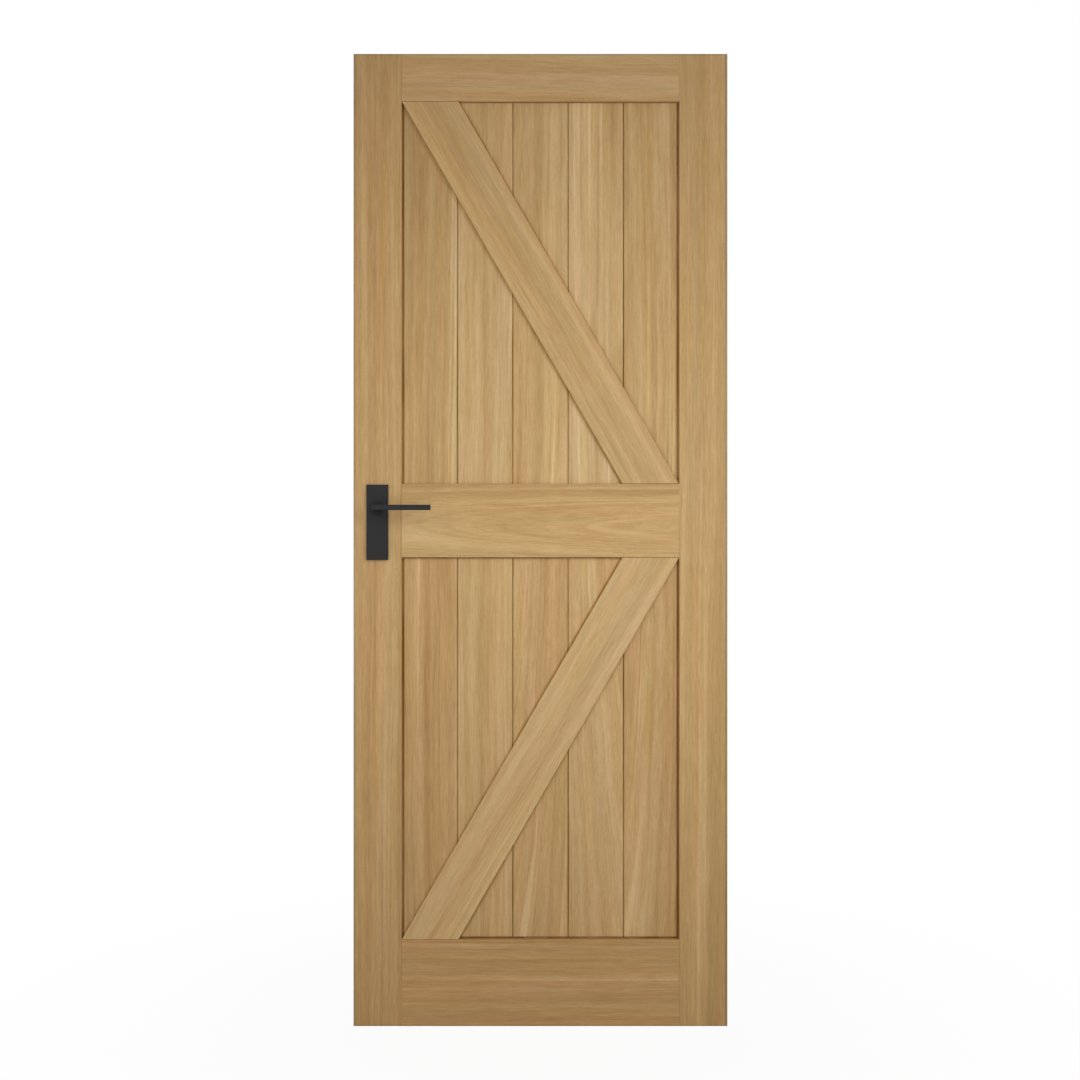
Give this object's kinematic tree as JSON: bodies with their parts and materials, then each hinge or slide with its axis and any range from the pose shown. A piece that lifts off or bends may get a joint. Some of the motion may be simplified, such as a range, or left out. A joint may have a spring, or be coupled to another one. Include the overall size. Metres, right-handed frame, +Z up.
{
  "type": "framed and braced barn door leaf with lever handle",
  "caption": "Oak barn door leaf: stiles and rails round vertical V-jointed boards, diagonal braces on both faces, black sprung lever handles on plain backplates.",
  "frame": {"origin": "on the hinge edge at the foot of the door, halfway through its thickness", "axes": "+Z up, +X from the lock edge to the hinge edge and out of it, -Y out of the face whose lever is on the left"},
  "size_m": [0.762, 0.135, 1.981],
  "materials": {
    "frame_oak": "clear matt lacquer",
    "board_oak": "clear matt lacquer",
    "brace_oak": "clear matt lacquer",
    "black_metal": "matt black powder coat",
    "steel": "zinc plated"
  },
  "bodies": {
    "leaf": {"lock_stile": "frame_oak", "hinge_stile": "frame_oak", "top_rail": "frame_oak", "middle_rail": "frame_oak", "bottom_rail": "frame_oak", "upper_board_1": "board_oak", "upper_board_2": "board_oak", "upper_board_3": "board_oak", "upper_board_4": "board_oak", "upper_board_5": "board_oak", "lower_board_1": "board_oak", "lower_board_2": "board_oak", "lower_board_3": "board_oak", "lower_board_4": "board_oak", "lower_board_5": "board_oak", "upper_brace_front": "brace_oak", "upper_brace_back": "brace_oak", "lower_brace_front": "brace_oak", "lower_brace_back": "brace_oak", "backplate_front": "black_metal", "backplate_back": "black_metal", "collar_front": "black_metal", "collar_back": "black_metal"},
    "lever_set": {"lever_front": "black_metal", "lever_back": "black_metal", "spindle": "steel", "grub_screw_front": "steel", "grub_screw_back": "steel"}
  },
  "joints": [
    {"name": "lever_turn", "type": "hinge", "parent": "leaf", "child": "lever_set", "pos_m": [-0.713, 0, 1.056], "axis": [0, 1, 0], "range_deg": [0, 45], "stiffness_Nm_per_rad": 1.2, "springref_deg": -28.65}
  ]
}
